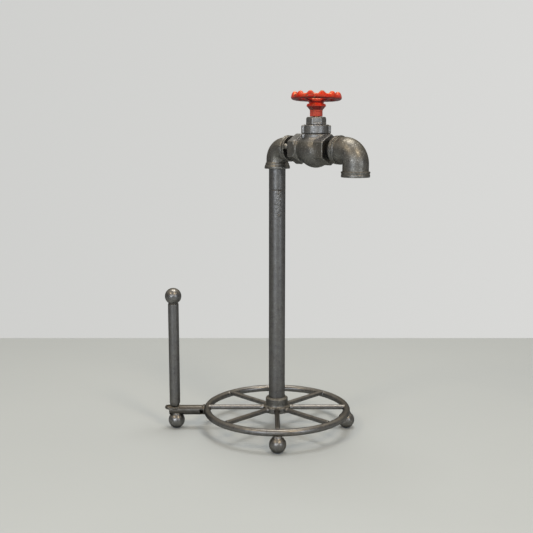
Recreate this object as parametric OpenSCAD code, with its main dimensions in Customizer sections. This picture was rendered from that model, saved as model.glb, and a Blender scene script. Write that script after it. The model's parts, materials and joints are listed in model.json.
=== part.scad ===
// Countertop paper towel holder built from pipe fittings.
// A welded rod base carries an upright pipe that the roll slides on, a short arm with a tear rod,
// and a faucet head (elbow, globe valve, spout elbow) on a slip pin at the top of the pipe.
// Millimetres, +Z up, origin on the upright pipe's axis in the plane the feet stand on.

/* [Base] */
// Radius of the base ring, to the centre of its rod
ring_r = 93; // [85:1:100]
// Radius of the rod the base ring is bent from
ring_rod_r = 4.5; // [4:0.1:5]
// Radius of the rod the eight spokes are cut from
spoke_rod_r = 3.2; // [2.8:0.1:3.4]
// Radius of each ball foot
foot_r = 10.8; // [10.5:0.1:11.2]

/* [Upright] */
// Outside radius of the upright pipe
pipe_r = 10.65; // [10.55:0.05:10.7]
// Height of the upright pipe's top end, where the head lifts off
seam_z = 317.8; // [300:1:330]
// Height of the faucet head's pipe axis
head_z = 371; // [365:1:376]
// Direction the spout points, about the upright pipe
head_angle = -46; // [-180:1:180]

/* [Tear rod] */
// Outside radius of the tear rod
tear_rod_r = 7; // [6.5:0.1:7.4]
// Distance from the upright pipe's axis to the tear rod's axis
tear_rod_x = 136; // [130:1:138]
// Height of the centre of the tear rod's ball
tear_ball_z = 179; // [150:1:220]

/* [Valve] */
// Distance from the upright pipe's axis to the valve stem's axis
valve_x = 67; // [66:0.5:68]
// Radius to the outside of the handwheel's rim
wheel_r = 30.6; // [29:0.2:32]
// Number of knuckles round the handwheel's rim
knuckles = 12; // [10:1:18]

/* [Hidden] */
$fn = 96;
eps = 0.01;
run = 0.1;

// Base heights
foot_z = foot_r - 0.2;
ring_z = 25.7;
spoke_z = 28;
hub_r = 18;
hub_lo = 23.4;
hub_hi = 31;
collar_r = 14.6;
collar_hi = 42;
bore_clear = 0.05;
spoke_in = hub_r - 1.5;
spoke_out = ring_r - 1.4;

// Arm
arm_r = 6.35;
arm_bore_r = 4.6;
arm_z = 24.2;
arm_open = 143.4;
arm_in = ring_r + ring_rod_r - 1.6;
arm_foot_x = 134;
arm_weld_r = 6.6;
tongue_r = 5;
tongue_t = 4.6;
tongue_x = 144.3;

// Tear rod and its ball
tear_lo = arm_z + arm_r - 1;
tear_bore_r = tear_rod_r - 2.2;
tear_gap = 9.9;
finial_lo = 9;
finial_r = 7.5;

// Upright and slip pin
pipe_in_r = 7.9;
// the pipe's lower end is turned down where it stands in the hub's collar
pipe_spigot_r = pipe_r - 0.25;
pipe_lo = 24.4;
pin_r = pipe_in_r - run;
pin_in_r = 5;
pin_down = 48;
pin_up = 26;
pin_collar_r = 10.2;
pin_collar_t = 0.8;

// Half inch fittings, in the head's own frame: X along the pipe, Z up, zero at the elbow's corner
socket_r = pipe_r + bore_clear;
elbow_a = 25.7;
elbow_bend = 14.4;
elbow_body_r = 13.8;
elbow_band_r = 16.25;
elbow_band_l = 7;
// A tack of weld on the elbow's side, across to the valve, that keeps the head from unscrewing
tack_r = 3.2;
tack_off = 14.2;
tack_turn = 13;
socket_d = 12.7;
nipple_in = 12;
thread_pitch = 1.81;
thread_root = pipe_r - 1.1;

// Valve body
hex_af = 33;
hex_l = 10.5;
hex_right_l = 14;
valve_left = 33.5;
valve_right = 25;
hex_chamfer_r = 18.3;
bulb_r = 20.3;
bulb_z = -2;
barrel_r = 15.2;
neck_r = 15;
neck_lo = 6;
neck_hi = 15;
flange_hi = 18.4;
lug_r = 18.1;
lug_w = 9;
lug_turn = 46;
port_r = 6.5;
seat_r = 5.5;
seat_z = 1;
chamber_r = 10.5;

// Bonnet, gland and packing nut
gasket_r = 14.2;
bonnet_lo = 19;
bonnet_hi = 29.7;
bonnet_spigot_r = chamber_r - 0.1;
bonnet_spigot_lo = 12.5;
bonnet_hollow_r = 8.4;
bonnet_hollow_hi = 21.2;
boss_r = 9.2;
boss_hi = 35.4;
gland_r = 6.6;
gland_lo = 31.2;
gland_nut_r = 12.7;
gland_nut_lo = 29.8;
gland_nut_hi = 39;
gland_lip = 36;

// Stem and seat washer
stem_r = 3.9;
stem_bore_r = stem_r + run;
stem_lo = 12.2;
stem_top_r = 3;
stem_shoulder = 57;
stem_hi = 66;
tip_r = 2.5;
tip_lo = 7.4;
holder_r = 7.4;
holder_lo = 3.6;
holder_hi = 12;
washer_r = 7;
washer_lo = seat_z + 0.05;
screw_r = 1.5;
screw_head_r = 3;
screw_lo = -0.6;

// Handwheel
rim_rod_r = 2.9;
rim_wide = 1;
rim_r = wheel_r - rim_rod_r - rim_wide;
rim_z = 62.2;
knuckle_r = 3.4;
knuckle_ring_r = 26.4;
knuckle_z = 65.1;
knuckle_turn = -32.5;
arm_rod_r = 2.8;
arm_turn = 1;
arm_drop = 3.2;
arm_from = 7;
wheel_arms = 4;
hex_turn = 46;
hub_hex_r = 7.8;
hub_lo_z = 39.4;
ear_r = 11.6;
ear_lo = 51.6;
ear_hi = 54.4;
bell_r = 10;
bell_hi = 61;
nut_hex_r = 5.2;
nut_hi = 64.9;
wheel_washer_r = 6.4;
wheel_washer_t = 0.8;

// Spout elbow, three quarter inch
spout_in = 100.8;
spout_leg = 29.8;
spout_a = 31.2;
spout_x = spout_in + spout_leg;
spout_bend = 16.2;
spout_body_r = 15.6;
spout_band_r = 17.1;
spout_band_l = 6.6;
spout_bore_r = 12.1;
spout_bore_d = 14.6;
spout_pass_r = 11.2;

// Turns a solid standing on Z so that it lies along +X
module along_x() {
    rotate([0, 90, 0]) children();
}

// Moves a solid into the faucet head's frame
module in_head() {
    translate([0, 0, head_z]) rotate([0, 0, head_angle]) children();
}

// Moves a solid into the valve's frame, on the stem's axis
module in_valve() {
    in_head() translate([valve_x, 0, 0]) children();
}

// One radial rod of the base, at a direction about the upright
module spoke(direction) {
    rotate([0, 0, direction])
        translate([spoke_in, 0, spoke_z])
            along_x() cylinder(r = spoke_rod_r, h = spoke_out - spoke_in);
}

// A ball ground flat where it stands, with the weld collar that joins it to what it carries
module ball_foot(collar_top, weld_r) {
    difference() {
        union() {
            translate([0, 0, foot_z]) sphere(r = foot_r);
            translate([0, 0, foot_z]) cylinder(r = weld_r, h = collar_top - foot_z);
        }
        translate([0, 0, -foot_r]) cylinder(r = foot_r, h = foot_r);
    }
}

// A quarter bend with straight legs, from the leg below the corner to the leg along +X
module bent_bar(r, bend, leg) {
    translate([0, 0, -leg]) cylinder(r = r, h = leg - bend);
    translate([bend, 0, -bend])
        rotate([90, 0, 0])
            rotate([0, 0, 90])
                rotate_extrude(angle = 90) translate([bend, 0]) circle(r = r);
    translate([bend, 0, 0]) along_x() cylinder(r = r, h = leg - bend);
}

// The beaded band at a fitting's mouth, standing on the mouth's face
module mouth_band(r, body_r, l) {
    rotate_extrude()
        polygon([[0, 0], [r - 0.5, 0], [r, 0.5], [r, l * 0.42], [r - 0.9, l * 0.5], [r - 0.7, l * 0.62],
            [r - 0.3, l * 0.7], [r - 0.8, l * 0.84], [body_r - 0.2, l + 1.2], [0, l + 1.2]]);
}

// A length of pipe thread, as ridges round the pipe
module thread_ridges(l, turns) {
    rotate_extrude()
        polygon(concat([[pipe_in_r, 0]],
            [for (i = [0:turns - 1]) each [[thread_root, i * l / turns],
                [pipe_r - 0.1, (i + 0.5) * l / turns]]],
            [[thread_root, l], [pipe_in_r, l]]));
}

// A short pipe with a thread at each end, lying along +X
module close_nipple(l, gap) {
    along_x() {
        difference() {
            cylinder(r = pipe_r - 0.1, h = nipple_in);
            translate([0, 0, -eps]) cylinder(r = pipe_in_r, h = nipple_in + 2 * eps);
        }
        translate([0, 0, nipple_in]) thread_ridges(gap, round(gap / thread_pitch));
        translate([0, 0, nipple_in + gap])
            difference() {
                cylinder(r = pipe_r - 0.1, h = l - nipple_in - gap);
                translate([0, 0, -eps]) cylinder(r = pipe_in_r, h = l - nipple_in - gap + 2 * eps);
            }
    }
}

// A hexagonal end of the valve body with its corners chamfered, standing on Z
module wrench_hex(l) {
    intersection() {
        cylinder(r = hex_af / sqrt(3), h = l, $fn = 6);
        rotate_extrude()
            polygon([[0, 0], [hex_chamfer_r - 0.6, 0], [hex_chamfer_r + 0.9, 1.2],
                [hex_chamfer_r + 0.9, l - 1.2], [hex_chamfer_r - 0.6, l], [0, l]]);
    }
}

// A round body with a lug at each side, as on the bonnet and the neck it screws to
module lugged(r, l, lug_l) {
    cylinder(r = r, h = l);
    rotate([0, 0, lug_turn])
        difference() {
            intersection() {
                translate([-lug_r, -lug_w / 2, 0]) cube([2 * lug_r, lug_w, lug_l]);
                cylinder(r = lug_r, h = lug_l);
            }
            translate([0, 0, -1]) cylinder(r = gasket_r + 0.2, h = lug_l + 2);
        }
}

module base_ring() {
    color([0.30, 0.29, 0.27])
        translate([0, 0, ring_z]) rotate_extrude() translate([ring_r, 0]) circle(r = ring_rod_r);
}

module spoke_front() {
    color([0.28, 0.27, 0.25]) spoke(-90);
}

module spoke_front_right() {
    color([0.28, 0.27, 0.25]) spoke(-45);
}

module spoke_right() {
    color([0.28, 0.27, 0.25]) spoke(0);
}

module spoke_rear_right() {
    color([0.28, 0.27, 0.25]) spoke(45);
}

module spoke_rear() {
    color([0.28, 0.27, 0.25]) spoke(90);
}

module spoke_rear_left() {
    color([0.28, 0.27, 0.25]) spoke(135);
}

module spoke_left() {
    color([0.28, 0.27, 0.25]) spoke(180);
}

module spoke_front_left() {
    color([0.28, 0.27, 0.25]) spoke(-135);
}

module base_hub() {
    color([0.30, 0.29, 0.27])
        difference() {
            union() {
                translate([0, 0, hub_lo]) cylinder(r = hub_r, h = hub_hi - hub_lo);
                translate([0, 0, hub_hi - eps])
                    cylinder(r1 = collar_r + 1, r2 = collar_r, h = collar_hi - hub_hi + eps);
            }
            translate([0, 0, hub_lo - 1])
                cylinder(r = pipe_spigot_r + bore_clear, h = collar_hi - hub_lo + 2);
        }
}

module foot_front() {
    color([0.30, 0.29, 0.28])
        translate([0, -ring_r, 0]) ball_foot(ring_z - ring_rod_r + 1.2, 5.4);
}

module foot_right() {
    color([0.30, 0.29, 0.28])
        translate([ring_r, 0, 0]) ball_foot(ring_z - ring_rod_r + 1.2, 5.4);
}

module foot_rear() {
    color([0.30, 0.29, 0.28])
        translate([0, ring_r, 0]) ball_foot(ring_z - ring_rod_r + 1.2, 5.4);
}

module foot_arm() {
    color([0.30, 0.29, 0.28])
        translate([-arm_foot_x, 0, 0]) ball_foot(arm_z - arm_r + 1.6, arm_weld_r);
}

module arm_tube() {
    color([0.33, 0.30, 0.26])
        difference() {
            union() {
                translate([-arm_open, 0, arm_z]) along_x() cylinder(r = arm_r, h = arm_open - arm_in);
                translate([-tongue_x, 0, arm_z + arm_r - tongue_t - 0.4])
                    cylinder(r = tongue_r, h = tongue_t);
            }
            translate([-arm_in - 26, 0, arm_z]) along_x() cylinder(r = arm_bore_r, h = 27);
        }
}

module tear_rod() {
    color([0.29, 0.28, 0.27])
        translate([-tear_rod_x, 0, 0])
            difference() {
                union() {
                    translate([0, 0, tear_lo]) cylinder(r1 = tear_rod_r - 1.9, r2 = tear_rod_r, h = 5.6);
                    translate([0, 0, tear_lo + 5.6 - eps])
                        cylinder(r = tear_rod_r, h = tear_ball_z - tear_gap - tear_lo - 5.6);
                }
                translate([0, 0, tear_lo + 12]) cylinder(r = tear_bore_r, h = tear_ball_z);
            }
}

module tear_rod_ball() {
    color([0.30, 0.29, 0.28])
        translate([-tear_rod_x, 0, tear_ball_z]) {
            sphere(r = foot_r);
            translate([0, 0, -finial_lo]) cylinder(r1 = finial_r, r2 = finial_r - 0.6, h = 4);
            translate([0, 0, -finial_lo - 10]) cylinder(r = tear_bore_r - bore_clear, h = 12);
        }
}

module upright_pipe() {
    color([0.31, 0.30, 0.29])
        difference() {
            union() {
                translate([0, 0, pipe_lo]) cylinder(r = pipe_spigot_r, h = collar_hi - pipe_lo + 1);
                translate([0, 0, collar_hi + 0.05]) cylinder(r = pipe_r, h = seam_z - collar_hi - 0.05);
            }
            translate([0, 0, pipe_lo - 1]) cylinder(r = pipe_in_r, h = seam_z - pipe_lo + 2);
        }
}

module slip_pin() {
    color([0.22, 0.21, 0.20])
        difference() {
            union() {
                translate([0, 0, seam_z - pin_down]) cylinder(r = pin_r, h = pin_down + pin_up);
                translate([0, 0, seam_z]) cylinder(r = pin_collar_r, h = pin_collar_t);
            }
            translate([0, 0, seam_z - pin_down - 1]) cylinder(r = pin_in_r, h = pin_down + pin_up + 2);
        }
}

module riser_nipple() {
    color([0.31, 0.30, 0.29])
        difference() {
            translate([0, 0, seam_z + pin_collar_t + run])
                cylinder(r = pipe_r, h = head_z - elbow_a + nipple_in - seam_z - pin_collar_t - run);
            translate([0, 0, seam_z]) cylinder(r = pipe_in_r, h = head_z - seam_z);
        }
}

module corner_elbow() {
    color([0.30, 0.28, 0.25])
        in_head()
            difference() {
                union() {
                    bent_bar(elbow_body_r, elbow_bend, elbow_a - 2);
                    translate([0, 0, -elbow_a]) mouth_band(elbow_band_r, elbow_body_r, elbow_band_l);
                    translate([elbow_a, 0, 0])
                        mirror([1, 0, 0])
                            along_x() mouth_band(elbow_band_r, elbow_body_r, elbow_band_l);
                    rotate([-tack_turn, 0, 0])
                        translate([elbow_a - 3, -tack_off, 0])
                            along_x() cylinder(r = tack_r, h = valve_x - valve_left - elbow_a + 3 - run);
                }
                bent_bar(pipe_in_r, elbow_bend, elbow_a + 1);
                translate([0, 0, -elbow_a - 1]) cylinder(r = socket_r, h = socket_d + 1);
                translate([elbow_a - socket_d, 0, 0]) along_x() cylinder(r = socket_r, h = socket_d + 1);
            }
}

module inlet_nipple() {
    gap = valve_x - valve_left - elbow_a;
    color([0.20, 0.19, 0.18])
        in_head() translate([elbow_a - nipple_in, 0, 0]) close_nipple(gap + 2 * nipple_in, gap);
}

module outlet_nipple() {
    gap = spout_in - valve_x - valve_right;
    color([0.20, 0.19, 0.18])
        in_head()
            translate([valve_x + valve_right - nipple_in, 0, 0])
                close_nipple(gap + 2 * nipple_in, gap);
}

module valve_body() {
    color([0.30, 0.29, 0.26])
        in_valve()
            difference() {
                union() {
                    translate([-valve_left, 0, 0]) along_x() wrench_hex(hex_l);
                    difference() {
                        translate([valve_right - hex_right_l, 0, 0]) along_x() wrench_hex(hex_right_l);
                        translate([0, 0, flange_hi - 0.2]) cylinder(r = lug_r + 0.4, h = 3);
                    }
                    translate([-valve_left + hex_l - 1, 0, 0])
                        along_x() cylinder(r1 = barrel_r, r2 = barrel_r + 2, h = valve_left - hex_l - 5);
                    translate([6, 0, 0])
                        along_x() cylinder(r1 = barrel_r + 2, r2 = barrel_r, h = valve_right - hex_right_l - 5);
                    translate([0, 0, bulb_z]) sphere(r = bulb_r);
                    translate([0, 0, neck_lo]) cylinder(r = neck_r, h = neck_hi - neck_lo + eps);
                    translate([0, 0, neck_hi]) lugged(neck_r, flange_hi - neck_hi, bonnet_lo - neck_hi);
                }
                translate([-valve_left - 1, 0, 0]) along_x() cylinder(r = socket_r, h = socket_d + 1);
                translate([valve_right - socket_d, 0, 0])
                    along_x() cylinder(r = socket_r, h = socket_d + 1);
                translate([-valve_left + 8, 0, -6])
                    along_x() cylinder(r = port_r, h = valve_left - 8);
                translate([0, 0, -6]) sphere(r = port_r);
                translate([0, 0, -7]) cylinder(r = seat_r, h = seat_z + 8);
                translate([0, 0, seat_z]) cylinder(r = chamber_r, h = flange_hi - seat_z + 1);
                translate([0, 0, 7.8])
                    along_x() cylinder(r = port_r, h = valve_right - 6);
            }
}

module bonnet_gasket() {
    color([0.10, 0.10, 0.10])
        in_valve()
            translate([0, 0, flange_hi])
                difference() {
                    cylinder(r = gasket_r, h = bonnet_lo - flange_hi);
                    translate([0, 0, -1]) cylinder(r = chamber_r, h = bonnet_lo - flange_hi + 2);
                }
}

module bonnet() {
    color([0.32, 0.31, 0.30])
        in_valve()
            difference() {
                union() {
                    translate([0, 0, bonnet_spigot_lo])
                        cylinder(r = bonnet_spigot_r, h = bonnet_lo - bonnet_spigot_lo + eps);
                    translate([0, 0, bonnet_lo])
                        lugged(neck_r, bonnet_hi - bonnet_lo, bonnet_hi - bonnet_lo - 0.8);
                    translate([0, 0, bonnet_hi - eps]) cylinder(r = boss_r, h = boss_hi - bonnet_hi);
                }
                translate([0, 0, bonnet_spigot_lo - 1])
                    cylinder(r = bonnet_hollow_r, h = bonnet_hollow_hi - bonnet_spigot_lo + 1);
                translate([0, 0, bonnet_lo]) cylinder(r = stem_bore_r, h = boss_hi);
                translate([0, 0, gland_lo]) cylinder(r = gland_r, h = boss_hi);
            }
}

module stem_packing() {
    color([0.12, 0.12, 0.12])
        in_valve()
            translate([0, 0, gland_lo])
                difference() {
                    cylinder(r = gland_r - 0.05, h = boss_hi - gland_lo);
                    translate([0, 0, -1]) cylinder(r = stem_bore_r, h = boss_hi - gland_lo + 2);
                }
}

module packing_nut() {
    color([0.32, 0.31, 0.30])
        in_valve()
            difference() {
                intersection() {
                    translate([0, 0, gland_nut_lo])
                        rotate([0, 0, hex_turn])
                            cylinder(r = gland_nut_r, h = gland_nut_hi - gland_nut_lo, $fn = 6);
                    rotate_extrude()
                        polygon([[0, gland_nut_lo], [gland_nut_r, gland_nut_lo],
                            [gland_nut_r, gland_nut_hi - 3], [gland_nut_r - 0.9, gland_nut_hi - 1.2],
                            [gland_nut_r - 2.4, gland_nut_hi],
                            [0, gland_nut_hi]]);
                }
                translate([0, 0, gland_nut_lo - 1])
                    cylinder(r = boss_r + bore_clear, h = gland_lip - gland_nut_lo + 1);
                cylinder(r = stem_r + 0.4, h = gland_nut_hi + 1);
            }
}

module spout_elbow() {
    color([0.33, 0.31, 0.27])
        in_head()
            translate([spout_x, 0, 0])
                mirror([1, 0, 0])
                    difference() {
                        union() {
                            bent_bar(spout_body_r, spout_bend, spout_leg - 2);
                            translate([0, 0, -spout_a])
                                mouth_band(spout_band_r, spout_body_r, spout_band_l);
                            translate([spout_leg, 0, 0])
                                mirror([1, 0, 0])
                                    along_x() mouth_band(spout_band_r, spout_body_r, spout_band_l);
                        }
                        translate([0, 0, -spout_a - 1]) cylinder(r = spout_bore_r, h = spout_bore_d + 1);
                        bent_bar(spout_pass_r, spout_bend, spout_leg - socket_d - eps);
                        translate([spout_leg - socket_d - 0.7, 0, 0])
                            along_x() cylinder(r = spout_pass_r, h = 0.7);
                        translate([spout_leg - socket_d, 0, 0])
                            along_x() cylinder(r = socket_r, h = socket_d + 1);
                    }
}

module disc_holder() {
    color([0.62, 0.50, 0.28])
        in_valve()
            difference() {
                translate([0, 0, holder_lo]) cylinder(r = holder_r, h = holder_hi - holder_lo);
                translate([0, 0, holder_lo - 1]) cylinder(r = screw_r + bore_clear, h = 4.2);
                translate([0, 0, tip_lo - 0.3]) cylinder(r = tip_r + run, h = holder_hi);
            }
}

module seat_washer() {
    color([0.09, 0.09, 0.09])
        in_valve()
            difference() {
                translate([0, 0, washer_lo]) cylinder(r = washer_r, h = holder_lo - washer_lo);
                translate([0, 0, washer_lo - 1]) cylinder(r = screw_r + bore_clear, h = 4);
            }
}

module washer_screw() {
    color([0.62, 0.50, 0.28])
        in_valve() {
            translate([0, 0, screw_lo]) cylinder(r = screw_head_r, h = washer_lo - screw_lo);
            translate([0, 0, washer_lo - eps]) cylinder(r = screw_r, h = tip_lo - 1 - washer_lo);
        }
}

module valve_stem() {
    color([0.62, 0.50, 0.28])
        in_valve() {
            translate([0, 0, tip_lo]) cylinder(r = tip_r, h = stem_lo - tip_lo + eps);
            translate([0, 0, stem_lo]) cylinder(r = stem_r, h = stem_shoulder - stem_lo);
            translate([0, 0, stem_shoulder - eps])
                cylinder(r = stem_top_r, h = stem_hi - stem_shoulder);
        }
}

module handwheel() {
    color([0.70, 0.10, 0.05])
        in_valve()
            difference() {
                union() {
                    translate([0, 0, rim_z])
                        rotate_extrude() {
                            translate([rim_r, 0]) circle(r = rim_rod_r);
                            translate([rim_r + rim_wide, 0]) circle(r = rim_rod_r);
                            translate([rim_r, -rim_rod_r]) square([rim_wide, 2 * rim_rod_r]);
                        }
                    for (i = [0:knuckles - 1])
                        rotate([0, 0, knuckle_turn + i * 360 / knuckles])
                            translate([knuckle_ring_r, 0, knuckle_z]) sphere(r = knuckle_r);
                    for (i = [0:wheel_arms - 1])
                        rotate([0, 0, arm_turn + i * 360 / wheel_arms])
                            translate([arm_from, 0, rim_z - arm_drop])
                                rotate([0, 90 - atan(arm_drop / (rim_r - arm_from)), 0])
                                    cylinder(r = arm_rod_r, h = rim_r - arm_from);
                    intersection() {
                        translate([0, 0, hub_lo_z])
                            rotate([0, 0, hex_turn]) cylinder(r = hub_hex_r, h = ear_lo - hub_lo_z, $fn = 6);
                        translate([0, 0, hub_lo_z]) cylinder(r = hub_hex_r - 0.2, h = ear_lo - hub_lo_z);
                    }
                    intersection() {
                        rotate([0, 0, hex_turn]) cylinder(r = ear_r, h = ear_hi, $fn = 6);
                        rotate_extrude()
                            polygon([[0, ear_lo - 4.6], [hub_hex_r - 1, ear_lo - 4.6],
                                [ear_r - 0.4, ear_lo], [ear_r, ear_lo + 0.6], [ear_r, ear_hi - 0.6],
                                [ear_r - 0.6, ear_hi], [0, ear_hi]]);
                    }
                    rotate_extrude()
                        polygon([[0, ear_hi - 1], [bell_r - 0.8, ear_hi - 1], [bell_r - 1.6, ear_hi + 1.6],
                            [bell_r - 0.4, ear_hi + 2.6], [bell_r + 0.4, ear_hi + 4],
                            [bell_r, bell_hi - 1], [bell_r - 2, bell_hi], [0, bell_hi]]);
                }
                cylinder(r = stem_r + bore_clear, h = stem_shoulder);
                cylinder(r = stem_top_r + bore_clear, h = stem_hi);
            }
}

module wheel_washer() {
    color([0.35, 0.34, 0.33])
        in_valve()
            translate([0, 0, bell_hi])
                difference() {
                    cylinder(r = wheel_washer_r, h = wheel_washer_t);
                    translate([0, 0, -1]) cylinder(r = stem_top_r + bore_clear, h = 3);
                }
}

module wheel_nut() {
    color([0.35, 0.34, 0.33])
        in_valve()
            translate([0, 0, bell_hi + wheel_washer_t])
                difference() {
                    cylinder(r = nut_hex_r, h = nut_hi - bell_hi - wheel_washer_t, $fn = 6);
                    translate([0, 0, -1]) cylinder(r = stem_top_r + bore_clear, h = 9);
                }
}

base_ring();
spoke_front();
spoke_front_right();
spoke_right();
spoke_rear_right();
spoke_rear();
spoke_rear_left();
spoke_left();
spoke_front_left();
base_hub();
foot_front();
foot_right();
foot_rear();
foot_arm();
arm_tube();
tear_rod();
tear_rod_ball();
upright_pipe();
slip_pin();
riser_nipple();
corner_elbow();
inlet_nipple();
valve_body();
bonnet_gasket();
bonnet();
stem_packing();
packing_nut();
outlet_nipple();
spout_elbow();
disc_holder();
seat_washer();
washer_screw();
valve_stem();
handwheel();
wheel_washer();
wheel_nut();
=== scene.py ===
import json
import math

import bpy
import numpy as np
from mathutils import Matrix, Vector


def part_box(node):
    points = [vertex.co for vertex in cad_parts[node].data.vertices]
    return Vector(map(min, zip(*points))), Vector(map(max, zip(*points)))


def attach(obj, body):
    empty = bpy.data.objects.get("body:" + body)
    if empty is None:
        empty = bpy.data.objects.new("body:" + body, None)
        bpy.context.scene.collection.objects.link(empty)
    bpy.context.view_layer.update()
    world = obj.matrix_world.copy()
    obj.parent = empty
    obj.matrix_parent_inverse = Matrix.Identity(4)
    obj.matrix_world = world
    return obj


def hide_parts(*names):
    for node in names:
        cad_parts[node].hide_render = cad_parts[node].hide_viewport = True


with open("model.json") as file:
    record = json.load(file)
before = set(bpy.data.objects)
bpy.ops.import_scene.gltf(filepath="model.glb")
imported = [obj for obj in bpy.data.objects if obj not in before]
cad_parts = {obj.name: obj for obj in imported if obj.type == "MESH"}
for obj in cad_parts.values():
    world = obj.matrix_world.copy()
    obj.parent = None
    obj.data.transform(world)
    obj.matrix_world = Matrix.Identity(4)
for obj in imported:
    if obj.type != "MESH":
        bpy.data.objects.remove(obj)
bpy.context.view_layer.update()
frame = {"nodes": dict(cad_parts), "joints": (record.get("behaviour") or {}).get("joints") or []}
MM = 0.001

# ---------------------------------------------------------------- sizes of the pieces (mm)
RING_ROD_R = 4.5
SPOKE_R, SPOKE_Z, SPOKE_IN = 3.2, 28.0, 16.6
HUB_R, HUB_LO, HUB_HI = 18.0, 23.4, 31.0
COLLAR_R, COLLAR_HI = 14.6, 42.0
FOOT_R, FOOT_Z, FOOT_TOP, FOOT_WELD_R = 10.8, 10.6, 22.4, 5.5
ARM_R, ARM_BORE_R, ARM_END, TONGUE_X, TONGUE_R = 6.35, 4.7, 143.4, 144.3, 5.0
TEAR_R, TEAR_BORE_R, FINIAL_R = 7.0, 4.9, 10.75
PIPE_LO, PIPE_IN_R, OUTER_FROM_R = 24.4, 7.9, 9.0
PIN_R, PIN_IN_R, PIN_DOWN, PIN_UP, PIN_COLLAR_T = 7.8, 5.0, 48.0, 26.0, 0.8
SOCKET_R, SOCKET_DEPTH, NIPPLE_IN, THREAD_PITCH = 10.75, 12.7, 12.0, 1.81
ELBOW_A = 25.7
SPOUT_A, SPOUT_LEG, SPOUT_IN = 31.2, 29.8, 100.8
SPOUT_BORE_R, SPOUT_BORE_D, SPOUT_HOLLOW_R = 12.1, 14.6, 11.2
VALVE_L, VALVE_R = 33.5, 25.0
HEX_AF, HEX_LEFT_L, HEX_RIGHT_L, HEX_CHAMFER_R = 33.0, 10.5, 14.0, 18.4
BULB_R, BULB_Z, BARREL_R, NECK_R, FLANGE_HI = 20.3, -2.0, 15.2, 15.0, 18.4
LUG_R, LUG_W = 18.0, 9.0
BONNET_LO, BONNET_HI, BOSS_R, BOSS_HI = 19.0, 29.7, 9.2, 35.4
GLAND_LO, GLAND_HI, GLAND_AF = 29.8, 39.0, 22.0
RIM_R, RIM_ROD_R, RIM_Z = 27.3, 2.9, 62.1
KNUCKLES, KNUCKLE_RING_R, KNUCKLE_R, KNUCKLE_Z = 12, 26.6, 3.45, 65.1
WHEEL_ARMS, ARM_ROD_R = 4, 2.6
SHAFT_AF, SHAFT_LO, BELL_HI = 13.5, 39.4, 61.0
NUT_AF, NUT_LO, NUT_HI = 9.0, 61.8, 64.9

# ---------------------------------------------------------------- places, from the frame (mm)
wheel_joint = next(j for j in frame["joints"] if j["name"] == "handwheel_turn")
STEM = np.array(wheel_joint["pos_m"][:2]) * 1000
VALVE_S = float(np.hypot(*STEM))
HEAD_ANGLE = math.atan2(STEM[1], STEM[0])
HEAD_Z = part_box("spout_elbow")[0].z * 1000 + SPOUT_A
SEAM_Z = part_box("upright_pipe")[1].z * 1000
PIPE_R = (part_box("upright_pipe")[1].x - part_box("upright_pipe")[0].x) * 500
RISER_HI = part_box("riser_nipple")[1].z * 1000
RING_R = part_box("base_ring")[1].x * 1000 - RING_ROD_R
RING_Z = (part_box("base_ring")[0].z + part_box("base_ring")[1].z) * 500
TEAR_X = (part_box("tear_rod")[0].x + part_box("tear_rod")[1].x) * 500
TEAR_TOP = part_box("tear_rod")[1].z * 1000
BALL_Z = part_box("tear_rod_ball")[1].z * 1000 - FOOT_R
FOOT_X = (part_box("foot_arm")[0].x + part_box("foot_arm")[1].x) * 500
ARM_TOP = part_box("arm_tube")[1].z * 1000
ARM_Z = ARM_TOP - ARM_R

WORLD = np.eye(4)


def frame_at(x, y, z, turn):
    c, s = math.cos(turn), math.sin(turn)
    return np.array([[c, -s, 0, x], [s, c, 0, y], [0, 0, 1, z], [0, 0, 0, 1]], float)


HEAD = frame_at(0, 0, HEAD_Z, HEAD_ANGLE)
VALVE = frame_at(STEM[0], STEM[1], HEAD_Z, HEAD_ANGLE)


# ---------------------------------------------------------------- signed distances
# In all of these the last argument of smin, smax and edge is the radius of the blend or rounding in mm.
def smin(a, b, k):
    h = np.maximum(k - np.abs(a - b), 0) / k
    return np.minimum(a, b) - h * h * k * 0.25


def smax(a, b, k):
    return -smin(-a, -b, k)


def edge(a, b, r):
    """The intersection of two half spaces with a rounded edge."""
    a, b = a + r, b + r
    return np.minimum(np.maximum(a, b), 0) + np.hypot(np.maximum(a, 0), np.maximum(b, 0)) - r


def span(w, lo, hi):
    """Negative where w lies between lo and hi."""
    return np.maximum(lo - w, w - hi)


def ball(x, y, z, r):
    return np.sqrt(x * x + y * y + z * z) - r


def ring_sdf(x, y, z, big, small):
    return np.hypot(np.hypot(x, y) - big, z) - small


def hexagon(a, b, af, turn, k):
    """A hexagon of af across its flats, with corners rounded by k."""
    d = None
    for i in range(3):
        t = turn + i * math.pi / 3
        e = np.abs(a * math.cos(t) + b * math.sin(t)) - af / 2
        d = e if d is None else smax(d, e, k)
    return d


def folded(rad, ang, count, turn=0.0):
    """Distances along and across the nearest of count equal rays, one of them at the angle turn."""
    step = 2 * math.pi / count
    fold = (ang - turn + step / 2) % step - step / 2
    return rad * np.cos(fold), rad * np.sin(fold)


def bend(x, y, z, r, b, down, side):
    """A quarter bend about (b, -b): a leg down at x = 0 and a leg along +X at z = 0."""
    arc = np.abs(np.hypot(x - b, z + b) - b)
    legs = np.where(z > -b, np.abs(z), np.minimum(np.abs(x), np.abs(z)))
    legs = np.where((x < b) & (z < -b), np.abs(x), legs)
    plane = np.where((x <= b) & (z >= -b), arc, legs)
    return edge(np.hypot(plane, y) - r, np.maximum(-down - z, x - side), 0.3)


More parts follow.
